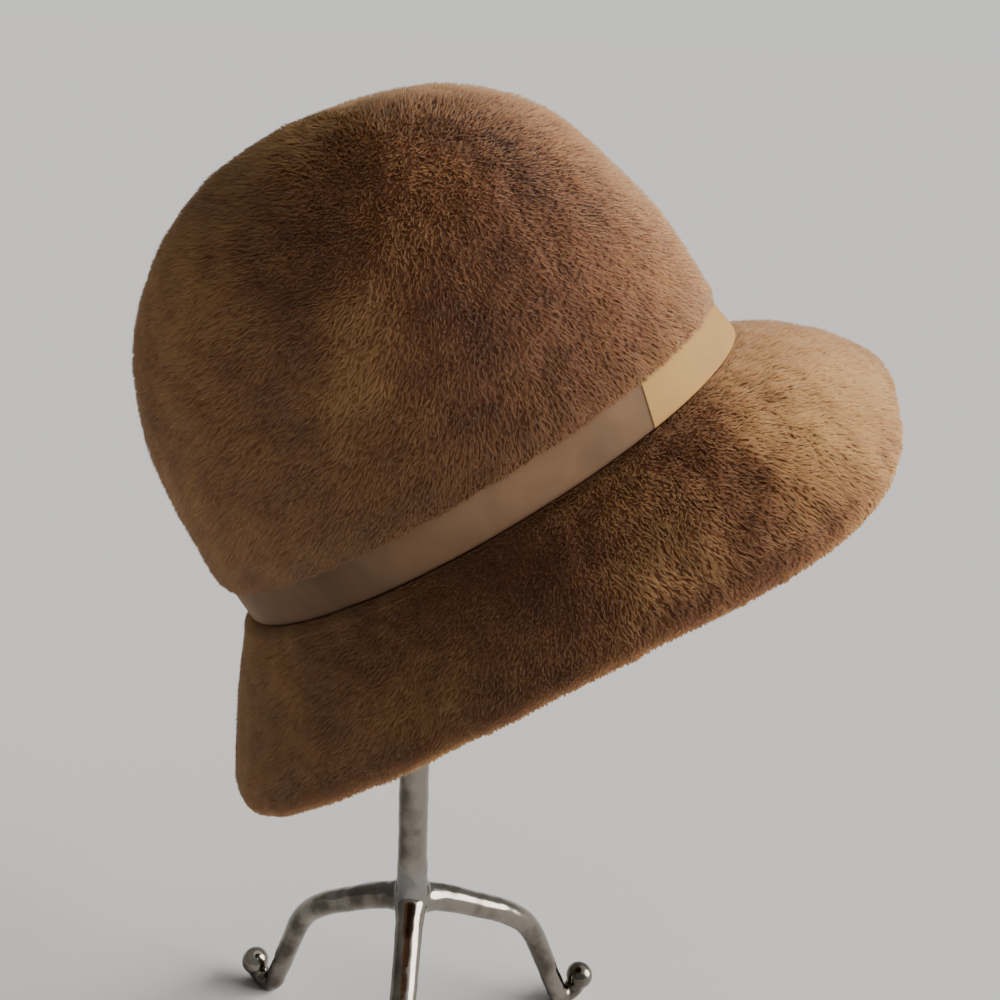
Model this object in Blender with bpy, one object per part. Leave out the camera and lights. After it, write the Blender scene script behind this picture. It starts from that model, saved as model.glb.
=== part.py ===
"""Fur bucket hat resting on a chrome hat stand.

Metres, +Z up. The front of the hat points towards +X and the stand's feet stand on Z = 0.
The hat is worked out in its own frame, with +X to its front, +Z up its crown and the origin at
the centre of the band's lower edge. An empty then tips that frame back on the stand.
"""

import math

import bmesh
import bpy
from mathutils import Matrix, Vector
from mathutils.bvhtree import BVHTree

MM = 0.001
GAP = 0.3 * MM

# Crown, with half sizes outside the fur just above the band
HALF_LENGTH = 107 * MM
HALF_WIDTH = 90 * MM
CROWN_TOP = 141 * MM
CROWN_WALL = 8.2 * MM
CROWN_LIP = 2 * MM
LIP_TURN = (
    # out from the fur's edge, height over the band
    (-0.8 * MM, 0.8 * MM),
    (-2.2 * MM, GAP),
)
SHOULDER = 2.83  # higher keeps the sides straight further up
ROUNDING = 2.2  # higher squares the dome
TAPER = 0.04  # share of the width lost by the top

# Band in the waist between crown and brim
BAND_HEIGHT = 15.6 * MM
BAND_THICKNESS = 1.6 * MM
BAND_INSET = 3 * MM
LAP_THICKNESS = 0.7 * MM
LAP_FROM = math.radians(312)
LAP_TO = math.radians(328)
LAP_SLANT = math.radians(3)
LAP_EDGE = 0.4 * MM
LAP_SINK = 0.15 * MM
LAP_STEPS = 6

# Brim, as a run out and down from the waist in each direction, with the crown of its bulge
BRIM_SHAPE = {
    # direction: (out, down, bulge)
    "front": (36.3 * MM, 52 * MM, 7.8 * MM),
    "side": (27.8 * MM, 40.7 * MM, 3.1 * MM),
    "back": (40.3 * MM, 55.7 * MM, 0.0),
}
FRONT_QUARTER_DROOP = 3 * MM
FRONT_CORNER_REACH = 4.5 * MM
FRONT_CORNER = math.radians(36)
FRONT_CORNER_WIDTH = math.radians(20)
LEFT_CORNER = math.radians(26)
LEFT_CORNER_WIDTH = math.radians(23)
LEFT_CORNER_REACH = 9 * MM
LEFT_CORNER_LIFT = 8 * MM
BRIM_THICKNESS = 8.4 * MM
EDGE_TURNS = (0, 45, 90, 135)  # degrees round the rolled edge, from its upper side

# Locks of the sheared fur, and the crown's soft dents as (round, climb, width, depth)
LOCK_LENGTH = 19 * MM
LOCKS_ROUND = 32
LOCK_RELIEF = 1.1 * MM
LOCK_ROOT = 0.25  # a lock's height at its root, as a share of its tip's
LOCK_TIP = 0.99  # just short of the next row
LOCK_WANDER = 1.2  # radians that the locks of a row sway to the side
ROW_TURN = 2.1  # radians between the sways of two rows
CROWN_FADE = 3  # higher keeps the locks full nearer the crown's top
BRIM_FADE = 4  # the locks are full from this part of the brim's run
DENTS = (
    (math.radians(253), math.radians(18), 19 * MM, 2.2 * MM),
    (math.radians(282), math.radians(46), 24 * MM, 1.8 * MM),
    (math.radians(338), math.radians(72), 17 * MM, 1.6 * MM),
    (math.radians(95), math.radians(30), 24 * MM, 1.8 * MM),
)

# How the hat sits over the stand's foot
HAT_AT = Vector((23 * MM, 6 * MM, 292.5 * MM))
HAT_TIP = math.radians(33.3)
HAT_LEAN = math.radians(-2.9)

# Stand
POST_SHAPE = (
    # radius, height over the floor, in mm: swollen where the legs are soldered on
    (0, 85),
    (4.1, 85),
    (5.8, 87.5),
    (7, 96),
    (6, 112),
    (5.8, 134),
)
POST_SIDES = 20
HEAD_UNDERSIDE = (
    # radius, depth under the rim, in mm
    (5.8, 22.2),
    (8.7, 11.2),
    (15.5, 5.4),
    (30, 2.2),
    (31, 0.9),
)
HEAD_RADIUS = 31 * MM
HEAD_DOME = 44 * MM
HEAD_RINGS = (0.97, 0.8, 0.6, 0.4, 0.2, 0)  # shares of the radius, from the rim to the top
HEAD_CLEARANCE = 0.33 * MM
PROBE_START = 40 * MM  # over the hat's origin, under the inside of the crown
PROBE_RINGS = 8
PROBES_ROUND = 24
LEG_DIRECTIONS = (30, 150, 270)
LEG_SHAPE = (
    # out from the post, height, radius
    (0, 94, 7.6),
    (12, 90, 6.1),
    (32, 78.5, 5.6),
    (50, 66.5, 5.5),
    (60.5, 55.5, 5.3),
    (70, 34.5, 5.0),
    (78, 13.5, 4.8),
    (83, 4.1, 4.7),
    (89, 4.2, 4.5),
    (93.4, 8.4, 4.1),
)
BALL_AT = (94, 11.4)
BALL_RADIUS = 5.4 * MM
BALL_SEGMENTS = 14
BALL_RINGS = 8

# How finely the round shapes are divided
COLUMNS = 96
INNER_COLUMNS = 48
DOME_ROWS = 18
INNER_DOME_ROWS = 8
BRIM_ROWS = 8
INNER_BRIM_ROWS = 4


def clear_scene():
    for thing in list(bpy.data.objects):
        bpy.data.objects.remove(thing)


def principled(name, colour, roughness, metallic=0.0, sheen=0.0):
    material = bpy.data.materials.new(name)
    material.use_nodes = True
    shader = material.node_tree.nodes["Principled BSDF"]
    shader.inputs["Base Color"].default_value = (*colour, 1)
    shader.inputs["Roughness"].default_value = roughness
    shader.inputs["Metallic"].default_value = metallic
    shader.inputs["Sheen Weight"].default_value = sheen
    return material


def angles(count):
    return [math.tau * step / count for step in range(count)]


def stitch(bm, lower, upper):
    """Faces between two closed rings, the second with as many points as the first or half of them."""
    ratio = len(lower) // len(upper)
    for step in range(len(upper)):
        after = (step + 1) % len(upper)
        near, far = upper[step], upper[after]
        if ratio == 1:
            bm.faces.new((lower[step], lower[after], far, near))
            continue
        first = lower[2 * step]
        middle = lower[2 * step + 1]
        last = lower[(2 * step + 2) % len(lower)]
        bm.faces.new((first, middle, near))
        bm.faces.new((middle, far, near))
        bm.faces.new((middle, last, far))


def object_from(name, bm, material):
    bmesh.ops.recalc_face_normals(bm, faces=bm.faces)
    mesh = bpy.data.meshes.new(name)
    bm.to_mesh(mesh)
    bm.free()
    mesh.materials.append(material)
    mesh.shade_smooth()
    mesh.set_sharp_from_angle(angle=math.radians(50))
    thing = bpy.data.objects.new(name, mesh)
    bpy.context.scene.collection.objects.link(thing)
    return thing


def waist_point(angle, out, height):
    """A point at this distance outside the ellipse of the crown's lower edge."""
    outward = Vector((HALF_WIDTH * math.cos(angle), HALF_LENGTH * math.sin(angle), 0)).normalized()
    return Vector((HALF_LENGTH * math.cos(angle), HALF_WIDTH * math.sin(angle), height)) + outward * out


def dome_point(angle, climb, inset=0.0):
    """The dome at an angle round it and a climb from its lower edge (0) to its top (a quarter turn)."""
    rise = math.sin(climb) ** (2 / SHOULDER)
    width = max(math.cos(climb), 0) ** (2 / ROUNDING) * (1 - TAPER * rise)
    base = BAND_HEIGHT + CROWN_LIP
    return Vector(
        (
            (HALF_LENGTH - inset) * width * math.cos(angle),
            (HALF_WIDTH - inset) * width * math.sin(angle),
            base + (CROWN_TOP - inset - base) * rise,
        )
    )


def lock_relief(angle, run):
    """Height of the locks: staggered rows down the hide, each lock fullest towards its tip."""
    row = math.floor(run / LOCK_LENGTH)
    along = run / LOCK_LENGTH - row
    wander = LOCK_WANDER * math.sin(3 * angle + ROW_TURN * row)
    across = 0.5 + 0.5 * math.cos(LOCKS_ROUND * angle + math.pi * row + wander)
    return LOCK_RELIEF * (LOCK_ROOT + (1 - LOCK_ROOT) * along) * across


def dent_depth(point):
    depth = 0.0
    for angle, climb, width, deep in DENTS:
        apart = (point - dome_point(angle, climb)).length / width
        depth += deep * math.exp(-apart * apart)
    return depth


def furred_dome_point(angle, climb):
    point = dome_point(angle, climb)
    base = BAND_HEIGHT + CROWN_LIP
    outward = Vector(
        (point.x / HALF_LENGTH**2, point.y / HALF_WIDTH**2, (point.z - base) / (CROWN_TOP - base) ** 2)
    ).normalized()
    run = (math.pi / 2 - climb) * HALF_LENGTH
    fade = min(1.0, CROWN_FADE * math.cos(climb))
    return point + outward * (fade * lock_relief(angle, run) - dent_depth(point))


def make_crown(material):
    bm = bmesh.new()
    neck = -BAND_INSET - BAND_THICKNESS - GAP
    top = bm.verts.new(dome_point(0, math.pi / 2))
    climbs = [math.pi / 2 * (1 - step / DOME_ROWS) for step in range(1, DOME_ROWS + 1)]
    rings = [[bm.verts.new(furred_dome_point(a, climb)) for a in angles(COLUMNS)] for climb in climbs]
    for out, height in (*LIP_TURN, (neck, GAP), (neck, -BAND_HEIGHT)):
        rings.append([bm.verts.new(waist_point(a, out, BAND_HEIGHT + height)) for a in angles(COLUMNS)])
    rings.append([bm.verts.new(waist_point(a, -CROWN_WALL, 0)) for a in angles(INNER_COLUMNS)])
    for step in range(INNER_DOME_ROWS):
        climb = math.pi / 2 * step / INNER_DOME_ROWS
        rings.append([bm.verts.new(dome_point(a, climb, CROWN_WALL)) for a in angles(INNER_COLUMNS)])
    inner_top = bm.verts.new(dome_point(0, math.pi / 2, CROWN_WALL))
    for pole, ring in ((top, rings[0]), (inner_top, rings[-1])):
        for step, vert in enumerate(ring):
            bm.faces.new((pole, vert, ring[(step + 1) % len(ring)]))
    for lower, upper in zip(rings, rings[1:]):
        stitch(bm, lower, upper)
    return object_from("crown", bm, material)


def brim_run(angle):
    """The brim's reach outwards and downwards and its bulge in this direction."""
    forward = max(math.cos(angle), 0) ** 2
    backward = max(-math.cos(angle), 0) ** 2
    shares = {"front": forward, "back": backward, "side": 1 - forward - backward}
    out, down, bulge = (sum(shares[k] * BRIM_SHAPE[k][i] for k in shares) for i in range(3))
    if math.cos(angle) > 0:
        down += FRONT_QUARTER_DROOP * math.sin(2 * angle) ** 2
        turn = math.remainder(angle, math.tau)
        out += FRONT_CORNER_REACH * math.exp(-(((abs(turn) - FRONT_CORNER) / FRONT_CORNER_WIDTH) ** 2))
        turned_up = math.exp(-(((turn - LEFT_CORNER) / LEFT_CORNER_WIDTH) ** 2))
        out += LEFT_CORNER_REACH * turned_up
        down -= LEFT_CORNER_LIFT * turned_up
    return out, down, bulge


def brim_section(angle, along, depth=0.0):
    """A point on the brim's outer side, or this deep under it, as (outwards, height)."""
    out, down, bulge = brim_run(angle)
    chord = Vector((out, -down))
    across = Vector((down, out)).normalized()
    point = chord * along + across * (4 * bulge * along * (1 - along))
    slope = chord + across * (4 * bulge * (1 - 2 * along))
    normal = Vector((-slope.y, slope.x)).normalized()
    return point - normal * depth, normal, slope.normalized()


def make_brim(material):
    bm = bmesh.new()
    radius = BRIM_THICKNESS / 2

    def ring(count, section):
        return [bm.verts.new(waist_point(a, *section(a))) for a in angles(count)]

    def outer(along):
        def section(angle):
            point, normal, _ = brim_section(angle, along)
            out, down, _ = brim_run(angle)
            fade = min(1.0, BRIM_FADE * along)
            return point + normal * (fade * lock_relief(angle, along * math.hypot(out, down)))

        return section

    def edge(turn):
        def section(angle):
            centre, normal, slope = brim_section(angle, 1, radius)
            full = radius + lock_relief(angle, LOCK_LENGTH * LOCK_TIP) * (1 + math.cos(turn)) / 2
            return centre + (normal * math.cos(turn) + slope * math.sin(turn)) * full

        return section

    def under(along):
        def section(angle):
            return brim_section(angle, along, BRIM_THICKNESS)[0]

        return section

    rings = [ring(COLUMNS, lambda angle: (-BAND_INSET, -GAP)), ring(COLUMNS, lambda angle: (0, -GAP))]
    rings += [ring(COLUMNS, outer(step / BRIM_ROWS)) for step in range(1, BRIM_ROWS)]
    rings += [ring(COLUMNS, edge(math.radians(turn))) for turn in EDGE_TURNS]
    rings += [ring(INNER_COLUMNS, under(1 - step / INNER_BRIM_ROWS)) for step in range(INNER_BRIM_ROWS + 1)]
    rings.append(ring(INNER_COLUMNS, lambda angle: (-CROWN_WALL, -GAP)))
    for lower, upper in zip(rings, rings[1:]):
        stitch(bm, lower, upper)
    stitch(bm, rings[0], rings[-1])
    return object_from("brim", bm, material)


def make_band(material):
    """A closed ring of leather. The strip's slanted end laps over it and settles down to its face."""
    inner = -BAND_INSET - BAND_THICKNESS
    bm = bmesh.new()
    corners = ((inner, 0), (-BAND_INSET, 0), (-BAND_INSET, BAND_HEIGHT), (inner, BAND_HEIGHT))
    rings = [[bm.verts.new(waist_point(a, *corner)) for a in angles(COLUMNS)] for corner in corners]
    for lower, upper in zip(rings, rings[1:] + rings[:1]):
        stitch(bm, lower, upper)
    band = object_from("band", bm, material)

    bm = bmesh.new()
    middle = -BAND_INSET - BAND_THICKNESS / 2
    low, high = LAP_EDGE, BAND_HEIGHT - LAP_EDGE
    sections = []
    for step in range(LAP_STEPS + 1):
        share = step / LAP_STEPS
        outer = -BAND_INSET + LAP_THICKNESS * (1 - share) - LAP_SINK * share
        section = []
        for out, height in ((middle, low), (outer, low), (outer, high), (middle, high)):
            start = LAP_FROM + LAP_SLANT * (height / BAND_HEIGHT - 0.5)
            section.append(bm.verts.new(waist_point(start + (LAP_TO - start) * share, out, height)))
        sections.append(section)
    for near, far in zip(sections, sections[1:]):
        stitch(bm, near, far)
    bm.faces.new(sections[0])
    bm.faces.new(sections[-1])
    lap = object_from("band_lap_layer", bm, material)
    return joined(band, [lap])


def joined(base, others, operation="UNION"):
    """The base object with the others added or cut by Booleans, which are applied."""
    for other in others:
        modifier = base.modifiers.new(other.name, "BOOLEAN")
        modifier.operation = operation
        modifier.object = other
    bpy.context.view_layer.update()
    evaluated = base.evaluated_get(bpy.context.evaluated_depsgraph_get())
    mesh = bpy.data.meshes.new_from_object(evaluated)
    base.modifiers.clear()
    base.data = mesh
    for other in others:
        bpy.data.objects.remove(other)
    return base


def turned(name, profile, sides, material):
    """A solid of revolution round Z, from (radius, height) points between two poles on the axis."""
    bm = bmesh.new()
    bottom = bm.verts.new((0, 0, profile[0][1]))
    top = bm.verts.new((0, 0, profile[-1][1]))
    rings = []
    for radius, height in profile[1:-1]:
        spots = ((radius * math.cos(a), radius * math.sin(a), height) for a in angles(sides))
        rings.append([bm.verts.new(spot) for spot in spots])
    for lower, upper in zip(rings, rings[1:]):
        stitch(bm, lower, upper)
    for pole, ring in ((bottom, rings[0]), (top, rings[-1])):
        for step, vert in enumerate(ring):
            bm.faces.new((pole, vert, ring[(step + 1) % len(ring)]))
    return object_from(name, bm, material)


def head_drop(distance):
    """How far the domed head lies below its top at this distance from the axis."""
    return HEAD_DOME - math.sqrt(HEAD_DOME**2 - distance**2)


def head_height(crown):
    """The height of the head's top at which it just clears the inside of the crown."""
    bm = bmesh.new()
    bm.from_mesh(crown.data)
    bm.transform(crown.matrix_world)
    inside = BVHTree.FromBMesh(bm)
    bm.free()
    start_height = HAT_AT.z + PROBE_START
    clear = []
    for ring in range(PROBE_RINGS + 1):
        distance = HEAD_RADIUS * ring / PROBE_RINGS
        for angle in angles(PROBES_ROUND):
            start = Vector((distance * math.cos(angle), distance * math.sin(angle), start_height))
            hit = inside.ray_cast(start, Vector((0, 0, 1)))[0]
            clear.append(hit.z + head_drop(distance))
    return min(clear) - HEAD_CLEARANCE


def leg_curve(direction, material):
    """A curled leg: a round bar, thickest where it is soldered to the post."""
    curve = bpy.data.curves.new("leg", "CURVE")
    curve.dimensions = "3D"
    curve.bevel_depth = MM
    curve.bevel_resolution = 3
    curve.resolution_u = 3
    curve.use_fill_caps = True
    spline = curve.splines.new("BEZIER")
    spline.bezier_points.add(len(LEG_SHAPE) - 1)
    for point, (out, height, radius) in zip(spline.bezier_points, LEG_SHAPE):
        point.co = (out * MM, 0, height * MM)
        point.radius = radius
        point.handle_left_type = point.handle_right_type = "AUTO"
    leg = bpy.data.objects.new("leg", curve)
    bpy.context.scene.collection.objects.link(leg)
    bpy.context.view_layer.update()
    mesh = bpy.data.meshes.new_from_object(leg.evaluated_get(bpy.context.evaluated_depsgraph_get()))
    bpy.data.objects.remove(leg)
    mesh.transform(Matrix.Rotation(math.radians(direction), 4, "Z"))
    mesh.materials.clear()
    mesh.materials.append(material)
    solid = bpy.data.objects.new("leg", mesh)
    bpy.context.scene.collection.objects.link(solid)
    return solid


def leg_ball(direction, material):
    bm = bmesh.new()
    bmesh.ops.create_uvsphere(bm, u_segments=BALL_SEGMENTS, v_segments=BALL_RINGS, radius=BALL_RADIUS)
    out, height = BALL_AT
    spot = Vector((out * MM, 0, height * MM))
    spot.rotate(Matrix.Rotation(math.radians(direction), 3, "Z"))
    bmesh.ops.translate(bm, verts=bm.verts, vec=spot)
    return object_from("leg_ball", bm, material)


def floor_cutter(material):
    """A block whose top is the floor, which leaves a flat under each foot."""
    size = 4 * LEG_SHAPE[-1][0] * MM
    bm = bmesh.new()
    bmesh.ops.create_cube(bm, size=size)
    bmesh.ops.translate(bm, verts=bm.verts, vec=(0, 0, -size / 2))
    return object_from("floor_cutter", bm, material)


def make_stand(head_top, material):
    """Post, soldered legs with ball ends, and a plain domed head inside the crown, as one solid."""
    rim = head_top - head_drop(HEAD_RADIUS)
    profile = [(radius * MM, height * MM) for radius, height in POST_SHAPE]
    profile += [(radius * MM, rim - depth * MM) for radius, depth in HEAD_UNDERSIDE]
    profile += [(HEAD_RADIUS * share, head_top - head_drop(HEAD_RADIUS * share)) for share in HEAD_RINGS]
    post = turned("stand", profile, POST_SIDES, material)
    added = []
    for direction in LEG_DIRECTIONS:
        added.append(leg_curve(direction, material))
        added.append(leg_ball(direction, material))
    stand = joined(post, added)
    return joined(stand, [floor_cutter(material)], "DIFFERENCE")


def centre_over_floor(things, movable):
    """Moves the whole part so that its box stands on Z = 0, centred on the Z axis."""
    bpy.context.view_layer.update()
    spots = [thing.matrix_world @ vert.co for thing in things for vert in thing.data.vertices]
    low = Vector(min(spot[axis] for spot in spots) for axis in range(3))
    high = Vector(max(spot[axis] for spot in spots) for axis in range(3))
    shift = Vector((-(low.x + high.x) / 2, -(low.y + high.y) / 2, -low.z))
    for thing in movable:
        thing.location += shift


clear_scene()
fur = principled("caramel_fur", (0.19, 0.085, 0.038), 0.95, sheen=0.6)
leather = principled("tan_leather", (0.42, 0.26, 0.13), 0.5)
chrome = principled("chrome", (0.66, 0.63, 0.6), 0.16, metallic=1.0)

hat_pose = bpy.data.objects.new("hat_pose", None)
bpy.context.scene.collection.objects.link(hat_pose)
hat_pose.location = HAT_AT
tip = Matrix.Rotation(-HAT_TIP, 4, "Y") @ Matrix.Rotation(HAT_LEAN, 4, "X")
hat_pose.rotation_euler = tip.to_euler()

hat = [make_crown(fur), make_brim(fur), make_band(leather)]
for piece in hat:
    piece.parent = hat_pose
bpy.context.view_layer.update()

hat_stand = make_stand(head_height(hat[0]), chrome)
centre_over_floor([*hat, hat_stand], [hat_pose, hat_stand])
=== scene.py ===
"""Looks of a sheared fur bucket hat on a chrome hat stand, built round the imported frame."""

import math

import bmesh
import bpy
import numpy as np
from mathutils import Matrix, Vector, kdtree, noise


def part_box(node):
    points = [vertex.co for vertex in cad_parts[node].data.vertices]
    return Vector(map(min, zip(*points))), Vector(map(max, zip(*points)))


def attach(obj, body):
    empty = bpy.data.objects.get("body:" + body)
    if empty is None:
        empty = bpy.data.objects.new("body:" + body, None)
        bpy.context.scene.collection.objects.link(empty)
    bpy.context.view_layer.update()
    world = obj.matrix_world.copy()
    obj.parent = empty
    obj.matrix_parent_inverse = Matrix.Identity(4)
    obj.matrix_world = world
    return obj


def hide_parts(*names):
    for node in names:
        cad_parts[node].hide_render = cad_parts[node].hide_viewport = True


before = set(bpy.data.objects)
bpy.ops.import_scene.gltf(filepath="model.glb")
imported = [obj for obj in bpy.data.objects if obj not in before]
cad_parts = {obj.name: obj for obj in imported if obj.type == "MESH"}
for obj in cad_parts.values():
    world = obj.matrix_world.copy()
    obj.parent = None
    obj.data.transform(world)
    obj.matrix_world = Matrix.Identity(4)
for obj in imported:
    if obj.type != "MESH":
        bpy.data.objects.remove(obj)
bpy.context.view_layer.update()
scene = bpy.context.scene
MM = 0.001


# Camera, at the height and distance from which the hat was seen, a little above its crown and
# looking down on it, with the small roll of a picture taken by hand.
SENSOR, LENS = 36, 43.2
CAMERA_AT = (-3.83 * MM, -425.65 * MM, 450.16 * MM)
DOWN, ROLL = 21.7, 2.6  # degrees

camera_data = bpy.data.cameras.new("camera")
camera_data.sensor_width = SENSOR
camera_data.lens = LENS
camera = bpy.data.objects.new("camera", camera_data)
scene.collection.objects.link(camera)
camera.matrix_world = (
    Matrix.Translation(CAMERA_AT)
    @ Matrix.Rotation(math.radians(90 - DOWN), 4, "X")
    @ Matrix.Rotation(math.radians(ROLL), 4, "Z")
)
scene.camera = camera


# Pale floor under the stand, a wide window at the right and a dim room round it. The floor is
# one large smooth sheet, so that no edge of it shows behind the hat.
FAR = 40
FLOOR_PAINT = {"Base Color": (0.86, 0.855, 0.84, 1), "Roughness": 1.0, "Specular IOR Level": 0.0}
LAMPS = (
    # name, the way it comes from, strength, how many degrees of the sky it fills, colour
    ("window", (1.13, -0.02, 0.47), 5.5, 46, (1.0, 0.965, 0.92)),
    ("daylight", (0.5, 0.1, 1), 0.9, 80, (0.98, 0.99, 1.0)),
)
DIM_AIR = {"Color": (0.80, 0.82, 0.85, 1), "Strength": 0.08}
PALE_AIR = {"Color": (0.83, 0.818, 0.794, 1), "Strength": 1.016}
PALE_IN_CHROME = 0.4  # share of the pale air that a reflection shows


def set_sockets(made, sockets):
    for socket, value in sockets.items():
        made.inputs[socket].default_value = value


def node(tree, kind, sockets=None, **settings):
    """A new shader node with these settings, and these plain values on its sockets."""
    made = tree.nodes.new("ShaderNode" + kind)
    for name, value in settings.items():
        setattr(made, name, value)
    set_sockets(made, sockets or {})
    return made


def wire(tree, *links):
    """Links, each from an output of one node to an input of another."""
    for source, output, target, socket in links:
        tree.links.new(source.outputs[output], target.inputs[socket])


def material_of(name, sockets):
    """A material, its node tree and its shader, with these plain values on the shader."""
    material = bpy.data.materials.new(name)
    material.use_nodes = True
    shader = material.node_tree.nodes["Principled BSDF"]
    set_sockets(shader, sockets)
    return material, material.node_tree, shader


floor_mesh = bpy.data.meshes.new("floor")
floor_corners = [(-FAR, -FAR, 0), (FAR, -FAR, 0), (FAR, FAR, 0), (-FAR, FAR, 0)]
floor_mesh.from_pydata(floor_corners, [], [(0, 1, 2, 3)])
floor = bpy.data.objects.new("floor", floor_mesh)
scene.collection.objects.link(floor)
floor_paint, _, _ = material_of("floor_paint", FLOOR_PAINT)
floor_mesh.materials.append(floor_paint)

for name, way, strength, spread, colour in LAMPS:
    sun = bpy.data.lights.new(name, "SUN")
    sun.energy = strength
    sun.angle = math.radians(spread)
    sun.color = colour
    lamp = bpy.data.objects.new(name, sun)
    lamp.location = way
    lamp.rotation_mode = "QUATERNION"
    lamp.rotation_quaternion = (-Vector(way)).to_track_quat("-Z", "Y")
    scene.collection.objects.link(lamp)

# The air is pale where it is seen, dim where it lights, and in between where the chrome shows it.
world = bpy.data.worlds.new("room_air")
scene.world = world
world.use_nodes = True
air = world.node_tree
dim = air.nodes["Background"]
set_sockets(dim, DIM_AIR)
pale = node(air, "Background", PALE_AIR)
seen = node(air, "LightPath")
mirrored = node(air, "Math", {1: PALE_IN_CHROME}, operation="MULTIPLY_ADD")
either = node(air, "MixShader")
wire(
    air,
    (seen, "Is Glossy Ray", mirrored, 0),
    (seen, "Is Camera Ray", mirrored, 2),
    (mirrored, 0, either, "Fac"),
    (dim, 0, either, 1),
    (pale, 0, either, 2),
    (either, 0, air.nodes["World Output"], "Surface"),
)


# Crown: one deep dome of sheared plush fur. The hide is the shell, a little under the pile's
# cut surface, and thousands of short locks on it lean down and back as the pelt was brushed.
HALF_LENGTH, HALF_WIDTH, CROWN_TOP = 107 * MM, 90 * MM, 141 * MM
SHOULDER, ROUNDING, TAPER = 2.83, 2.2, 0.04
BAND_HEIGHT, CROWN_LIP, CROWN_WALL = 15.6 * MM, 2 * MM, 8.2 * MM
BASE = BAND_HEIGHT + CROWN_LIP
GAP = 0.3 * MM
PILE_DEPTH = 2.4 * MM
HAT_AT = Vector((-11.414, 2.043, 292.5)) * MM
TIPPED_BACK, LEANING = math.radians(-33.3), math.radians(-2.9)
HAT_TURN = Matrix.Rotation(TIPPED_BACK, 4, "Y") @ Matrix.Rotation(LEANING, 4, "X")
HAT = Matrix.Translation(HAT_AT) @ HAT_TURN
CROWN_HOLLOWS = (
    # round, climb in degrees, width, depth in mm, where the pelt is pressed in or stands fuller
    (253, 18, 19, 2.2),
    (282, 46, 24, 1.8),
    (338, 72, 17, 1.6),
    (95, 30, 24, 1.8),
    (355, 17, 24, 2.0),
    (180, 78, 34, -2.3),
)
CROWN_SWELLS = (
    # height, size in mm, seed
    (0.5, 7, 3),
    (0.7, 26, 4),
)
CROWN_UNDERSIDE = (
    # out from the crown's lower edge, height over the band
    (-2.75 * MM, -0.5 * MM),
    (-4.9 * MM, GAP),
    (-4.9 * MM, -BAND_HEIGHT),
    (-CROWN_WALL, -BAND_HEIGHT),
)
CROWN_NAP_AND_PAINTED_LIGHT = (
    # round, climb in degrees, width in mm, how much lighter the pile lies there: painted light and
    # shade, darker over the hollows and across the lit front, which also marks where the pile is
    # brushed up
    (253, 18, 10, -0.16),
    (283, 46, 22, -0.12),
    (290, 60, 16, 0.2),
    (268, 14, 13, 0.3),
    (277, 22, 13, 0.26),
    (244, 50, 30, 0.2),
    (236, 30, 20, 0.08),
    (226, 8, 16, 0.1),
    (263, 5, 10, 0.12),
    (330, 28, 40, -0.24),
    (302, 36, 22, 0.24),
    (292, 10, 22, -0.14),
    (312, 64, 18, -0.02),
    (300, 76, 18, 0.34),
    (328, 44, 20, -0.18),
    (270, 30, 18, -0.06),
    (60, 30, 40, 0.1),
    (110, 20, 26, -0.2),
    (160, 40, 30, 0.1),
)
DEEP, MIDDLE, TIP = (0.07, 0.037, 0.034), (0.262, 0.115, 0.06), (0.52, 0.262, 0.105)
CLOUDS = (
    # how much lighter or darker, size in mm
    (0.08, 34),
    (0.13, 13),
)
CROWN_SHADE, GROUND_SHADE, POLE_TONE = 0.02, 0.1, 0.4
CROWN_LOCKS = {
    # count, reach, rise, width in mm, seed, how much they gather
    "crown_underfur": (49500, 1.4, 2.0, 1.0, 11, 0.0),
    "crown_pile": (49500, 2.8, 2.2, 0.75, 12, 0.5),
}


def dome(angle, climb, inset=0.0):
    """Points on the crown's cut surface, or this deep under it, in the hat's own frame."""
    rise = np.sin(climb) ** (2 / SHOULDER)
    width = np.clip(np.cos(climb), 0, None) ** (2 / ROUNDING) * (1 - TAPER * rise)
    x = (HALF_LENGTH - inset) * width * np.cos(angle)
    y = (HALF_WIDTH - inset) * width * np.sin(angle)
    return np.stack(np.broadcast_arrays(x, y, BASE + (CROWN_TOP - inset - BASE) * rise), -1)


def waist(angle, out, height):
    """Points at this distance outside the ellipse of the crown's lower edge."""
    outward = np.stack([HALF_WIDTH * np.cos(angle), HALF_LENGTH * np.sin(angle)], -1)
    outward /= np.linalg.norm(outward, axis=-1, keepdims=True)
    x = HALF_LENGTH * np.cos(angle) + outward[..., 0] * out
    y = HALF_WIDTH * np.sin(angle) + outward[..., 1] * out
    return np.stack(np.broadcast_arrays(x, y, height), -1)


def unit(vectors):
    return vectors / np.maximum(np.linalg.norm(vectors, axis=-1, keepdims=True), 1e-12)


def hump(values, middle, width):
    """A smooth hump that is 1 in its middle and has all but gone at twice this width."""
    return np.exp(-(((values - middle) / width) ** 2))


def ripple(points, size, seed, depth=2):
    """Smooth noise from -1 to 1 at each point, with swells of this size."""
    shift = Vector((13.1, 7.7, 3.3)) * seed
    flat = points.reshape(-1, 3) / size
    values = [noise.fractal(Vector(p) + shift, 1.0, 2.0, depth) for p in flat]
    return np.array(values).reshape(points.shape[:-1])


def swells(points, table):
    return sum(height * MM * ripple(points, size * MM, seed) for height, size, seed in table)


def grid_normals(points, closed_rows=False):
    """Outward normals of a grid of rows (downwards) and closed columns (round)."""
    across = np.roll(points, -1, 1) - np.roll(points, 1, 1)
    if closed_rows:
        down = np.roll(points, -1, 0) - np.roll(points, 1, 0)
    else:
        down = np.gradient(points, axis=0)
    return unit(np.cross(down, across)), unit(down)


def to_hat(points):
    turn = np.array(HAT)
    return points @ turn[:3, :3].T + turn[:3, 3]


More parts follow.
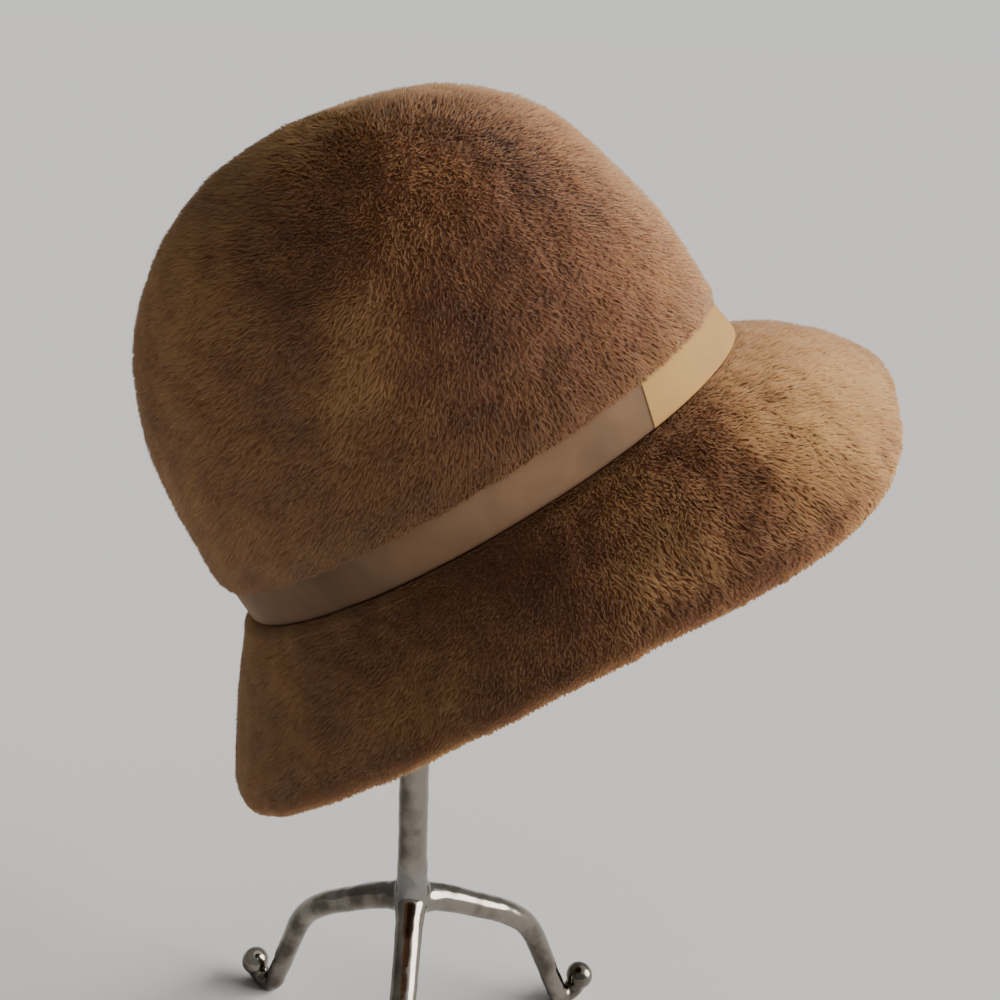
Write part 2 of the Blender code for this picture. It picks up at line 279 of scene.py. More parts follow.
def mesh_of(name, points, faces, materials, slots=None):
    mesh = bpy.data.meshes.new(name)
    mesh.from_pydata(points.tolist(), [], faces)
    for material in materials:
        mesh.materials.append(material)
    if slots is not None:
        mesh.polygons.foreach_set("material_index", slots)
    mesh.shade_smooth()
    thing = bpy.data.objects.new(name, mesh)
    scene.collection.objects.link(thing)
    return thing


def bake_map(thing, spots):
    layer = thing.data.uv_layers.new(name="OFBake")
    layer.data.foreach_set("uv", np.asarray(spots, np.float32).ravel())


def point_values(thing, name, values):
    attribute = thing.data.attributes.new(name, "FLOAT", "POINT")
    attribute.data.foreach_set("value", np.asarray(values, np.float32).ravel())


def shared_group(name, inputs, outputs):
    """A new shader node group with these sockets, and its input and output nodes."""
    group = bpy.data.node_groups.new(name, "ShaderNodeTree")
    for socket, kind, value in inputs:
        made = group.interface.new_socket(name=socket, in_out="INPUT", socket_type=kind)
        made.default_value = value
    for socket, kind in outputs:
        group.interface.new_socket(name=socket, in_out="OUTPUT", socket_type=kind)
    return group, group.nodes.new("NodeGroupInput"), group.nodes.new("NodeGroupOutput")


# How brushed plush takes colour: dark down between the hairs, pale at the cut tips, with soft
# clouds where the nap changes direction and a fine streak from hair to hair.
plush, plush_in, plush_out = shared_group(
    "plush_tone",
    [
        ("Deep", "NodeSocketColor", (0.06, 0.03, 0.015, 1)),
        ("Middle", "NodeSocketColor", (0.2, 0.1, 0.05, 1)),
        ("Tip", "NodeSocketColor", (0.4, 0.25, 0.14, 1)),
        ("Tone", "NodeSocketFloat", 0.5),
        ("Streak Size", "NodeSocketFloat", 900.0),
        ("Streak", "NodeSocketFloat", 0.2),
        ("Cloud Size", "NodeSocketFloat", 30.0),
        ("Cloud", "NodeSocketFloat", 0.3),
    ],
    [("Color", "NodeSocketColor"), ("Value", "NodeSocketFloat")],
)
place = node(plush, "TexCoord")
streaks = node(plush, "TexNoise", {"Detail": 2})
clouds = node(plush, "TexNoise", {"Detail": 4, "Distortion": 0.6})
total, total_from = plush_in, "Tone"
for texture, amount in ((streaks, "Streak"), (clouds, "Cloud")):
    centred = node(plush, "Math", {1: 0.5}, operation="SUBTRACT")
    added = node(plush, "Math", operation="MULTIPLY_ADD")
    wire(
        plush,
        (place, "Object", texture, "Vector"),
        (plush_in, amount + " Size", texture, "Scale"),
        (texture, "Fac", centred, 0),
        (centred, 0, added, 0),
        (plush_in, amount, added, 1),
        (total, total_from, added, 2),
    )
    total, total_from = added, 0
lower = node(plush, "MapRange", {"From Max": 0.5})
upper = node(plush, "MapRange", {"From Min": 0.5})
from_deep = node(plush, "Mix", data_type="RGBA")
to_tip = node(plush, "Mix", data_type="RGBA")
wire(
    plush,
    (total, 0, lower, "Value"),
    (total, 0, upper, "Value"),
    (lower, "Result", from_deep, "Factor"),
    (plush_in, "Deep", from_deep, "A"),
    (plush_in, "Middle", from_deep, "B"),
    (upper, "Result", to_tip, "Factor"),
    (from_deep, "Result", to_tip, "A"),
    (plush_in, "Tip", to_tip, "B"),
    (to_tip, "Result", plush_out, "Color"),
    (total, 0, plush_out, "Value"),
)


def plush_material(name, streak, cloud):
    """Fur that takes its tone from the mesh, a little see-through, with a soft warm sheen."""
    material, tree, shader = material_of(
        name,
        {
            "Roughness": 0.85,
            "Specular IOR Level": 0.08,
            "Subsurface Weight": 0.35,
            "Subsurface Radius": (1.0, 0.45, 0.2),
            "Subsurface Scale": 2.5 * MM,
            "Sheen Weight": 0.15,
            "Sheen Roughness": 0.45,
            "Sheen Tint": (1.0, 0.6, 0.35, 1),
        },
    )
    colours = {"Deep": (*DEEP, 1), "Middle": (*MIDDLE, 1), "Tip": (*TIP, 1)}
    tone = node(tree, "Group", node_tree=plush)
    set_sockets(tone, {**colours, "Streak": streak, "Cloud": cloud})
    read = node(tree, "Attribute", attribute_name="tone")
    wire(tree, (read, "Fac", tone, "Tone"), (tone, "Color", shader, "Base Color"))
    return material


pile_fur = plush_material("caramel_pile", 0.2, 0.3)
ground_fur = plush_material("pile_ground", 0.3, 0.3)


def ramp(tree, steps, interpolation="LINEAR"):
    """A colour ramp through these steps of position and colour."""
    made = node(tree, "ValToRGB")
    made.color_ramp.interpolation = interpolation
    stops = made.color_ramp.elements
    stops[0].position, stops[1].position = steps[0][0], steps[-1][0]
    for position, _ in steps[1:-1]:
        stops.new(position)
    for stop, (_, colour) in zip(stops, steps):
        stop.color = (*colour, 1)
    return made


hide, tree, shader = material_of("suede_hide", {"Roughness": 0.95})
place = node(tree, "TexCoord")
nap_noise = node(tree, "TexNoise", {"Scale": 240, "Detail": 5})
suede = ramp(tree, ((0, (0.12, 0.075, 0.045)), (1, (0.24, 0.16, 0.1))))
relief = node(tree, "Bump", {"Strength": 0.3, "Distance": 0.3 * MM})
wire(
    tree,
    (place, "Object", nap_noise, "Vector"),
    (nap_noise, "Fac", suede, "Fac"),
    (suede, "Color", shader, "Base Color"),
    (nap_noise, "Fac", relief, "Height"),
    (relief, "Normal", shader, "Normal"),
)


def tone_at(points, patches, seed):
    """How light the pile lies: soft clouds, and patches of painted light and shade, which also
    mark where it is brushed up or down.
    """
    tone = 0.5
    for step, (much, size) in enumerate(CLOUDS):
        tone = tone + much * ripple(points, size * MM, seed + step)
    for spot, width, change in patches:
        tone += change * hump(np.linalg.norm(points - spot, axis=-1), 0, width)
    return tone


THICKER_BEFORE, THICKER_FROM = 0.05, 0.94  # shares of the rows


def scatter(surface, count, until, draw):
    """Spreads so many spots over a grid of points, down to this share of its rows, and twice as
    thickly at its two ends. It gives a function that reads any such grid at these spots."""
    rows, columns = surface.shape[:2]
    around = np.concatenate([surface, surface[:, :1]], 1)
    edge_down = around[1:, :-1] - around[:-1, :-1]
    edge_round = around[:-1, 1:] - around[:-1, :-1]
    area = np.linalg.norm(np.cross(edge_down, edge_round), axis=-1)
    area[: int(THICKER_BEFORE * rows)] *= 2
    area[int(THICKER_FROM * rows) :] *= 2
    area[int(until * (rows - 1)) :] = 0
    share = (np.arange(count) + draw.random(count)) / count * area.sum()
    cell = np.minimum(np.searchsorted(np.cumsum(area), share), area.size - 1)
    row, column = np.divmod(cell, columns)
    v, u = draw.random((2, count, 1))
    after = (column + 1) % columns

    def between(grid):
        flat = grid if grid.ndim == 3 else grid[..., None]
        low = flat[row, column] * (1 - u) + flat[row, after] * u
        high = flat[row + 1, column] * (1 - u) + flat[row + 1, after] * u
        return low * (1 - v) + high * v

    return between


RUFFLED = {
    # where the pile lies flat, and how much more where it is brushed up
    "swing": (0.2, 0.8),
    "length": (0.7, 0.5),
    "pull": (0.15, 0.75),
    "speckle": (0.03, 0.05),
    "root shade": (0.03, 0.04),
    "tip light": (0.04, 0.1),
}
SWAY_SIZE, STRAY = 14 * MM, 0.2
TUFT = 10  # locks to each one that draws its neighbours in
ROOT_SINK = 0.4 * MM
SPIKE_FACES = (0, 1, 2), (0, 3, 1), (1, 3, 2), (2, 3, 0)
# Each lock bakes into a square of its own: its hidden foot, then its three sides.
FOOT_SPOTS = (0.03, 0.9), (0.08, 0.9), (0.03, 0.95)
LEFT, RIGHT, BACK, MIDST = (0.06, 0.06), (0.94, 0.06), (0.5, 0.94), (0.5, 0.36)
SPIKE_SPOTS = (*FOOT_SPOTS, LEFT, MIDST, RIGHT, RIGHT, MIDST, BACK, BACK, MIDST, LEFT)


def pile(name, fur, nap, count, reach, rise, width, seed, gather, until=1.0):
    """Short locks rooted all over the fur, given as grids of its points, its tones and how short
    it is cut. Each is a slim three-sided spike that leans along the nap, and neighbours draw
    together into small tufts, as brushed fur does."""
    surface, tones, short = fur
    draw = np.random.default_rng(seed)
    between = scatter(surface, count, until, draw)
    tone = between(tones)
    ruffle = np.clip(0.3 + 3 * (tone - 0.5), 0, 1)  # the paler pile is brushed up

    def ruffled(what):
        flat, more = RUFFLED[what]
        return flat + more * ruffle

    def vary(low, high):
        return low + (high - low) * draw.random((count, 1))

    normals, downs = grid_normals(surface)
    root, normal = between(surface), unit(between(normals))
    lie = nap(root, between(downs))
    lie = unit(lie - normal * (lie * normal).sum(-1, keepdims=True))
    side = np.cross(normal, lie)
    swing = ruffled("swing") * ripple(root, SWAY_SIZE, seed + 5)[:, None]
    swing += STRAY * draw.standard_normal((count, 1))
    lean = lie * np.cos(swing) + side * np.sin(swing)
    short = between(short)
    length = reach * MM * short * ruffled("length") * vary(0.75, 1.25)
    height = rise * MM * short * vary(0.9, 1.1)
    tip = root + lean * length + normal * height

    leaders = draw.choice(count, count // TUFT, replace=False)
    found = kdtree.KDTree(len(leaders))
    for index, leader in enumerate(leaders):
        found.insert(root[leader], index)
    found.balance()
    nearest = leaders[np.array([found.find(spot)[1] for spot in root])]
    pull = gather * ruffled("pull") * vary(0, 1)
    tip = tip * (1 - pull) + tip[nearest] * pull

    lean = unit(tip - root)
    side = unit(np.cross(normal, lean))
    half = width * MM * (vary(0.55, 1.05) + 0.4 * ruffle) / 2
    foot = root - normal * ROOT_SINK
    corners = np.stack(
        [foot + side * half, foot - side * half, root - lean * half + normal * half * 0.7, tip], 1
    )
    first = np.arange(count)[:, None] * 4
    faces = np.concatenate([first + order for order in SPIKE_FACES], 1)
    points = to_hat(corners.reshape(-1, 3))
    thing = mesh_of(name, points, faces.reshape(-1, 3).tolist(), [pile_fur])
    across = math.ceil(math.sqrt(count))
    cells = np.stack(np.divmod(np.arange(count), across), -1)[:, None]
    bake_map(thing, (cells + SPIKE_SPOTS) / across)
    soft = np.stack([normal + side * 0.5, normal - side * 0.5, normal, normal + lean * 0.3], 1)
    soft = unit(soft) @ np.array(HAT)[:3, :3].T
    thing.data.normals_split_custom_set_from_vertices(soft.reshape(-1, 3).tolist())
    tone = tone + ruffled("speckle") * draw.standard_normal((count, 1))
    low, high = tone - ruffled("root shade"), tone + ruffled("tip light")
    point_values(thing, "tone", np.concatenate([low, low, tone, high], 1))
    return thing


def closed_shell(name, grid, poles, materials, hide_from):
    """A closed solid from rows of rings, with a point at each end or joined end to end, and the
    hide's suede side from one row on."""
    rows, columns = grid.shape[:2]
    index = np.arange(rows * columns).reshape(rows, columns)
    after = np.roll(index, -1, 1)
    quads = np.stack([index[:-1], index[1:], after[1:], after[:-1]], -1).reshape(-1, 4)
    faces = quads.tolist()
    slots = (np.arange(len(quads)) // columns >= hide_from).astype(int).tolist()
    points = grid.reshape(-1, 3)
    row, column = np.divmod(np.arange(len(quads)), columns)
    cell = np.stack([column, row + 1], -1)[:, None]
    spots = [(cell + ((0, 0), (0, 1), (1, 1), (1, 0))).reshape(-1, 2)]
    ends = np.stack([np.arange(columns), np.zeros(columns, int)], -1)[:, None]
    if poles is not None:
        start = len(points)
        points = np.concatenate([points, np.array(poles)])
        faces += [(start, a, b) for a, b in zip(index[0], after[0])]
        faces += [(start + 1, b, a) for a, b in zip(index[-1], after[-1])]
        slots += [0] * columns + [1] * columns
        spots += [(ends + ((0.5, 0), (0, 1), (1, 1))).reshape(-1, 2)]
        spots += [(ends + ((0.5, rows + 1), (1, rows), (0, rows))).reshape(-1, 2)]
    else:
        faces += np.stack([index[-1], index[0], after[0], after[-1]], -1).tolist()
        slots += [0] * columns
        spots += [(ends + ((0, rows), (0, rows + 1), (1, rows + 1), (1, rows))).reshape(-1, 2)]
    thing = mesh_of(name, to_hat(points), faces, materials, slots)
    bake_map(thing, np.concatenate(spots) / (columns, rows + 1))
    return thing


crown_columns, crown_rows, inner_rows = 300, 90, 24
turns = np.linspace(0, math.tau, crown_columns, endpoint=False)
fine = (math.pi / 2) * np.linspace(0, 1, 600) ** 2
profile = dome(0.8, fine)
run = np.concatenate([[0], np.cumsum(np.linalg.norm(np.diff(profile, axis=0), axis=1))])
climbs = np.interp(np.linspace(run[-1], 0, crown_rows + 1)[1:], run, fine)
cut = dome(turns[None, :], climbs[:, None])
outward, _ = grid_normals(cut)
sink = PILE_DEPTH - swells(cut, CROWN_SWELLS)
for round_deg, climb_deg, width, deep in CROWN_HOLLOWS:
    spot = dome(math.radians(round_deg), math.radians(climb_deg))
    sink += deep * MM * hump(np.linalg.norm(cut - spot, axis=-1), 0, width * MM)
cut = cut - outward * sink[..., None]
underside = [waist(turns, out, BAND_HEIGHT + high) for out, high in CROWN_UNDERSIDE]
inner_climbs = np.interp(np.linspace(0, run[-1], inner_rows + 1)[:-1], run, fine)
inner = dome(turns[None, :], inner_climbs[:, None], CROWN_WALL)
crown_grid = np.concatenate([cut, np.stack(underside), inner], 0)
top_point = cut[0].mean(0) + (0, 0, 0.05 * MM)
inner_top = dome(np.array(0.0), np.array(math.pi / 2), CROWN_WALL)
poles = top_point, inner_top
crown_shell = closed_shell("crown_hide", crown_grid, poles, [ground_fur, hide], crown_rows + 1)

# Patches of painted light and shade on the crown, which also set how brushed up the pile is.
crown_nap_and_painted_light = [
    (dome(math.radians(a), math.radians(c)), width * MM, change)
    for a, c, width, change in CROWN_NAP_AND_PAINTED_LIGHT
]
crown_tones = tone_at(crown_grid, crown_nap_and_painted_light, 1) - CROWN_SHADE
ground_tones = (crown_tones - GROUND_SHADE).ravel()
point_values(crown_shell, "tone", np.concatenate([ground_tones, [POLE_TONE, POLE_TONE]]))


def crown_nap(points, down):
    """Down to the band at the front, and more and more towards the back behind that."""
    behind = np.clip(0.57 - 1.43 * points[:, :1] / HALF_LENGTH, 0, 1)
    return down - np.array([1, 0, 0]) * (0.5 + 1.4 * behind)


crown_short = np.ones((crown_rows + 1, crown_columns))
crown_short[-2:] = 0.7
crown_fur = crown_grid[: crown_rows + 1], crown_tones[: crown_rows + 1], crown_short
crown_piles = [pile(name, crown_fur, crown_nap, *locks) for name, locks in CROWN_LOCKS.items()]
for piece in (crown_shell, *crown_piles):
    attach(piece, "root")
    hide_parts("crown")


# Brim: a second ring of the same fur, cut wider at front and back, sewn on under the band and
# turned down, with its edge rolled over a soft core so that the pile runs round to the underside.
BRIM_SHAPE = {
    # direction: out, down, bulge in mm
    "front": (36.3, 52, 7.8),
    "side": (27.8, 40.7, 3.1),
    "back": (41.4, 55.0, 1.2),
}
FRONT_DROOP = 3  # mm, between the front and the sides
BRIM_CORNERS = (
    # at, width in degrees, on both sides, ahead only, then more out, down and bulge in mm
    (36, 20, True, True, 4.5, 0, 0),
    (26, 23, False, True, 8, -7, -4),
    (10, 13, False, False, 5, -4, 0),
    (-40, 26, False, False, 0, 1.4, 0),
)
BRIM_THICKNESS, BRIM_PILE_DEPTH, BAND_INSET = 8.4 * MM, 2.2 * MM, 3 * MM
TUCK, BELOW_BAND, UNDERSIDE_SINK = 0.2 * MM, 0.4 * MM, 1.2 * MM
BRIM_SWELLS = (
    # height, size in mm, seed
    (0.5, 7, 13),
    (0.6, 24, 14),
)
BRIM_NAP_AND_PAINTED_LIGHT = (
    # round in degrees, along the brim, width in mm, how much lighter the pile lies there: painted
    # light and shade, which also marks where the pile is brushed up
    (278, 0.35, 28, -0.14),
    (296, 0.5, 24, 0.2),
    (240, 0.6, 16, -0.06),
    (255, 0.75, 16, 0.16),
    (326, 0.75, 28, 0.26),
    (350, 0.7, 32, 0.38),
    (332, 0.4, 26, 0.22),
    (225, 0.3, 12, 0.12),
    (90, 0.5, 30, 0.1),
    (140, 0.5, 26, -0.14),
)
UPPER_LOCKS = {
    # count, reach, rise, width in mm, seed, how much they gather
    "brim_underfur": (30000, 1.3, 1.8, 1.0, 31, 0.0),
    "brim_pile": (49500, 2.4, 2.0, 0.7, 32, 0.5),
}
UNDER_LOCKS = (12000, 2.4, 0.9, 1.0, 41, 0.3)
UNDER_SHORT, UNDER_UNTIL = 0.6, 0.75  # how short they are, the share of the rows they cover


def brim_run(angle):
    """The brim's reach outwards and downwards and its bulge in each direction, in metres."""
    forward = np.clip(np.cos(angle), 0, None) ** 2
    backward = np.clip(-np.cos(angle), 0, None) ** 2
    shares = {"front": forward, "back": backward, "side": 1 - forward - backward}
    reach = [sum(shares[k] * BRIM_SHAPE[k][i] for k in shares) for i in range(3)]
    ahead = np.cos(angle) > 0
    reach[1] = reach[1] + FRONT_DROOP * np.sin(2 * angle) ** 2 * ahead
    turn = (angle + math.pi) % math.tau - math.pi
    for at, width, both_sides, ahead_only, *more in BRIM_CORNERS:
        corner = hump(np.abs(turn) if both_sides else turn, math.radians(at), math.radians(width))
        corner = corner * ahead if ahead_only else corner
        reach = [value + corner * extra for value, extra in zip(reach, more)]
    return [value * MM for value in reach]


def brim_section(angle, along, depth):
    """A point on the brim's upper side, or this deep under it, with the normal and slope there,
    all as (outwards, upwards)."""
    out, down, bulge = brim_run(angle)
    chord = np.stack([out, -down], -1)
    across = unit(np.stack([down, out], -1))
    bulge = bulge[..., None]
    slope = unit(chord + across * 4 * bulge * (1 - 2 * along))
    normal = np.stack([-slope[..., 1], slope[..., 0]], -1)
    return chord * along + across * 4 * bulge * along * (1 - along) - normal * depth, normal, slope


brim_columns, upper_rows, edge_steps, under_rows = 380, 39, 10, 22
turns = np.linspace(0, math.tau, brim_columns, endpoint=False)
edge_radius = BRIM_THICKNESS / 2
rows = [waist(turns, -BAND_INSET - TUCK, -GAP - BELOW_BAND)]
for along in np.linspace(0, 1, upper_rows + 2)[1:-1]:
    depth = BRIM_PILE_DEPTH * min(1.0, 0.6 + 6 * along)
    point, _, _ = brim_section(turns, along, depth)
    rows.append(waist(turns, point[:, 0], point[:, 1]))
centre, normal, slope = brim_section(turns, 1, edge_radius)
for turn in np.radians(np.linspace(0, 165, edge_steps)):
    full = edge_radius - BRIM_PILE_DEPTH * (0.62 + 0.38 * math.cos(turn))
    spot = centre + (normal * math.cos(turn) + slope * math.sin(turn)) * full
    rows.append(waist(turns, spot[:, 0], spot[:, 1]))
outer_rows = len(rows)
for along in np.linspace(1, 0, under_rows):
    lowered = UNDERSIDE_SINK * min(1.0, 4 * along) * (along > 0.02)
    point, _, _ = brim_section(turns, along, BRIM_THICKNESS - lowered)
    rows.append(waist(turns, point[:, 0], point[:, 1]))
rows.append(waist(turns, -CROWN_WALL, -GAP - BELOW_BAND))
brim_grid = np.stack(rows)
outward, _ = grid_normals(brim_grid)
swell = swells(brim_grid, BRIM_SWELLS)
swell[0] = swell[-1] = 0
brim_grid = brim_grid + outward * swell[..., None]
brim_shell = closed_shell("brim_hide", brim_grid, None, [ground_fur, hide], outer_rows + 16)

# Patches of painted light and shade on the brim, which also set how brushed up the pile is.
brim_nap_and_painted_light = []
for round_deg, along, width, change in BRIM_NAP_AND_PAINTED_LIGHT:
    angle = np.array([math.radians(round_deg)])
    point, _, _ = brim_section(angle, along, 0)
    brim_nap_and_painted_light.append((waist(angle, point[:, 0], point[:, 1])[0], width * MM, change))
brim_tones = tone_at(brim_grid, brim_nap_and_painted_light, 21)
# Painted light where the pile rolls over the edge and parts to show paler tips, and a painted
# shadow in the crease just inside it.
past_edge = np.arange(len(brim_grid))[:, None] - (outer_rows - edge_steps)
brim_tones += 0.22 * hump(past_edge, 6, 4) - 0.12 * hump(past_edge, -3, 1.6)
point_values(brim_shell, "tone", brim_tones - GROUND_SHADE)


def brim_nap(points, down):
    """Down to the edge, drifting back on the way."""
    return down - np.array([1, 0, 0]) * (0.5 - 0.25 * points[:, :1] / HALF_LENGTH)


brim_short = np.clip(1 - 0.12 * (past_edge + 4), 0.4, 1) * np.ones_like(brim_tones)
brim_short[:3] = 0.8
brim_fur = tuple(grid[: outer_rows + 1] for grid in (brim_grid, brim_tones, brim_short))
under_tones = brim_tones[outer_rows:] - GROUND_SHADE
under_fur = brim_grid[outer_rows:], under_tones, np.full_like(under_tones, UNDER_SHORT)
brim_piles = [pile(name, brim_fur, brim_nap, *locks) for name, locks in UPPER_LOCKS.items()]
brim_piles.append(pile("brim_under_pile", under_fur, brim_nap, *UNDER_LOCKS, UNDER_UNTIL))
for piece in (brim_shell, *brim_piles):
    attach(piece, "root")
    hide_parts("brim")


# Band: a strip of smooth tan leather drawn round the waist, its cut edges turned soft, with one
# slanted end lapped over the other and glued down near the front of the right side.
BAND_SECTION = (
    # out from the band's inner face, height in mm
    (0.0, 0.3), (0.5, 0.05), (1.1, 0.05), (1.5, 0.35), (1.62, 1.0), (1.68, 3.5), (1.7, 7.8),
    (1.68, 12.1), (1.62, 14.6), (1.5, 15.25), (1.1, 15.55), (0.5, 15.55), (0.0, 15.3), (0.0, 7.8),
)
BAND_BACK = -4.6  # mm, the band's inner face, out from the crown's lower edge
BAND_SWELLS = ((0.12, 30, 51),)
BAND_SWELL_LIMIT = 0.1 * MM
LAP_AT, LAP_SLANT, LAP_END = math.radians(312), math.radians(3), math.radians(328)
LAP_STEP, LAP_EDGE = 0.3, np.radians([-0.25, -0.05, 0.05, 0.25])
FLARE, FACE_FROM = 2.8, 1  # mm
LEATHER_TINTS = (
    # from the darkest painted shade to the palest leather
    (0, (0.105, 0.062, 0.036)),
    (0.32, (0.285, 0.168, 0.097)),
    (1, (0.82, 0.48, 0.105)),
)
# The leather's plain tone, and the painted light on the lapped end just past the seam.
LEATHER_TONE, LAP_PAINTED_LIGHT = 0.34, 0.16

band_columns, band_top = 400, BAND_HEIGHT / MM
turns = np.linspace(0, math.tau, band_columns, endpoint=False)
seam = int(round(LAP_AT / math.tau * band_columns))
turns[seam - 2 : seam + 2] = LAP_AT + LAP_EDGE
rings = []
for out, height in BAND_SECTION:
    slanted = turns + LAP_SLANT * (height / band_top - 0.5) * hump(turns, LAP_AT, math.radians(12))
    share = np.clip((turns - LAP_AT) / (LAP_END - LAP_AT), 0, 1)
    lapped = np.where(turns > LAP_AT, LAP_STEP * (1 - share) ** 1.5, 0)
    flare = FLARE * np.clip(np.cos(turns), 0, 1) ** 2 * (1 - height / band_top)
    raised = (lapped + flare) * (out > FACE_FROM)
    rings.append(waist(slanted, (BAND_BACK + out + raised) * MM, height * MM))
band_grid = np.stack(rings[::-1])
wave = np.minimum(swells(band_grid, BAND_SWELLS), BAND_SWELL_LIMIT)
outward, _ = grid_normals(band_grid, True)
band_grid = band_grid + outward * wave[..., None]

leather, tree, shader = material_of("tan_leather", {"Specular IOR Level": 0.1})
place = node(tree, "TexCoord")
grain = node(tree, "TexVoronoi", {"Scale": 1500})
patchy = node(tree, "TexNoise", {"Scale": 45, "Detail": 5, "Distortion": 0.4})
# The tone holds the band's painted shade and painted light.
band_painted_light_tone = node(tree, "Attribute", attribute_name="tone")
shade = node(tree, "Math", {1: 0.3}, operation="MULTIPLY_ADD")
tints = ramp(tree, LEATHER_TINTS)
dull = node(tree, "MapRange", {"To Min": 0.58, "To Max": 0.75})
relief = node(tree, "Bump", {"Strength": 0.12, "Distance": 0.1 * MM})
wire(
    tree,
    (place, "Object", grain, "Vector"),
    (place, "Object", patchy, "Vector"),
    (patchy, "Fac", shade, 0),
    (band_painted_light_tone, "Fac", shade, 2),
    (shade, 0, tints, "Fac"),
    (tints, "Color", shader, "Base Color"),
    (patchy, "Fac", dull, "Value"),
    (dull, "Result", shader, "Roughness"),
    (grain, "Distance", relief, "Height"),
    (relief, "Normal", shader, "Normal"),
)
band = closed_shell("leather_band", band_grid, None, [leather], len(band_grid))
# Painted shade at the back of the right side, a painted shadow on the band just before the lapped
# end, and painted light on the lapped end just past the seam.
past_lap = turns > LAP_AT
tones = LEATHER_TONE - 0.42 * hump(turns, math.radians(232), math.radians(38))
tones -= 0.3 * hump(turns, math.radians(306), math.radians(26)) * ~past_lap
tones += LAP_PAINTED_LIGHT * past_lap * (1 - (turns - LAP_AT).clip(0, 1))
point_values(band, "tone", np.broadcast_to(tones, band_grid.shape[:2]))
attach(band, "root")
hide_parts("band")


# Stand: cast and plated bar. A post carries a plain dome inside the crown, and three curled legs
# are soldered round its foot, each ending in a small ball turned up off the table.
POST_AT = Vector((-34.414, -3.957, 0)) * MM
POST_SHAPE = (
    # radius, height in mm
    (0, 84), (4.1, 84), (6.6, 87.5), (7.5, 97), (7.2, 104), (6.5, 112), (6.3, 122), (6.3, 140),
)
HEAD_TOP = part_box("stand")[1].z
HEAD_RADIUS, HEAD_DOME = 31 * MM, 44 * MM
HEAD_UNDERSIDE = (
    # radius, depth under the rim in mm
    (5.8, 22.2), (8.7, 11.2), (15.5, 5.4), (30, 2.2), (31, 0.9),
)
HEAD_SHARES = 0.97, 0.8, 0.6, 0.4, 0.2, 0
LEG_WAYS = 30, 150, 270
LEG_SHAPE = (
    # out from the post, height, radius in mm
    (0, 94, 7.6), (12, 90, 6.1), (32, 78.5, 5.6), (50, 66.5, 5.5), (60.5, 55.5, 5.3),
    (70, 34.5, 5.0), (78, 13.5, 4.8), (83, 4.1, 4.7), (88.5, 4.3, 4.6), (93, 8.4, 4.8),
)
BALL_AT, BALL_RADIUS = (93.2 * MM, 0, 11.6 * MM), 6.5 * MM
VOXEL = 1.05 * MM
SMOOTHING = (0.6, -0.62) * 12  # in and out again, so that the bars keep their width
SOLDER_AT, SOLDER_SPREAD = 104 * MM, 11 * MM
CAST_RIPPLE, SOLDER_RIPPLE, RIPPLE_SIZE = 0.16, 0.6, 7 * MM
CHROME_TINTS = (0.35, (0.085, 0.072, 0.058)), (0.6, (0.27, 0.245, 0.21))
SOLDER_TINT = (0.3, 0.315, 0.345, 1)
SOLDER_RING = (
    # height in fifths of a metre, how much of the solder's own colour shows
    (0.46, (0, 0, 0)),
    (0.53, (0.35, 0.35, 0.35)),
    (0.59, (0, 0, 0)),
)


def head_drop(distance):
    return HEAD_DOME - math.sqrt(HEAD_DOME**2 - distance**2)


rim = HEAD_TOP - head_drop(HEAD_RADIUS)
outline = [(radius * MM, height * MM) for radius, height in POST_SHAPE]
outline += [(radius * MM, rim - depth * MM) for radius, depth in HEAD_UNDERSIDE]
outline += [(HEAD_RADIUS * s, HEAD_TOP - head_drop(HEAD_RADIUS * s)) for s in HEAD_SHARES]
bm = bmesh.new()
corners = [bm.verts.new((radius, 0, height)) for radius, height in outline]
edges = [bm.edges.new(pair) for pair in zip(corners, corners[1:])]
bmesh.ops.spin(bm, geom=corners + edges, axis=(0, 0, 1), cent=(0, 0, 0), steps=64, angle=math.tau)
bmesh.ops.remove_doubles(bm, verts=bm.verts, dist=0.01 * MM)
bmesh.ops.recalc_face_normals(bm, faces=bm.faces)


def evaluated(thing):
    """A new mesh of the thing, with its bevel or modifiers applied."""
    bpy.context.view_layer.update()
    final = thing.evaluated_get(bpy.context.evaluated_depsgraph_get())
    return bpy.data.meshes.new_from_object(final)


for direction in LEG_WAYS:
    curve = bpy.data.curves.new("leg", "CURVE")
    curve.dimensions = "3D"
    curve.bevel_depth = MM
    curve.bevel_resolution = 10
    curve.resolution_u = 16
    curve.use_fill_caps = True
    spline = curve.splines.new("BEZIER")
    spline.bezier_points.add(len(LEG_SHAPE) - 1)
    for point, (out, height, radius) in zip(spline.bezier_points, LEG_SHAPE):
        point.co = (out * MM, 0, height * MM)
        point.radius = radius
        point.handle_left_type = point.handle_right_type = "AUTO"
    leg = bpy.data.objects.new("leg", curve)
    scene.collection.objects.link(leg)
    mesh = evaluated(leg)
    bpy.data.objects.remove(leg)
    turn = Matrix.Rotation(math.radians(direction), 4, "Z")
    mesh.transform(turn)
    bm.from_mesh(mesh)
    ball = turn @ Matrix.Translation(BALL_AT)
    bmesh.ops.create_uvsphere(bm, u_segments=32, v_segments=20, radius=BALL_RADIUS, matrix=ball)
stand_mesh = bpy.data.meshes.new("stand_raw")
bm.to_mesh(stand_mesh)
bm.free()
stand_mesh.transform(Matrix.Translation(POST_AT))
stand = bpy.data.objects.new("hat_stand", stand_mesh)
scene.collection.objects.link(stand)
fuse = stand.modifiers.new("solder", "REMESH")
fuse.mode = "VOXEL"
fuse.voxel_size = VOXEL
bar = evaluated(stand)
stand.modifiers.clear()
stand.data = bar

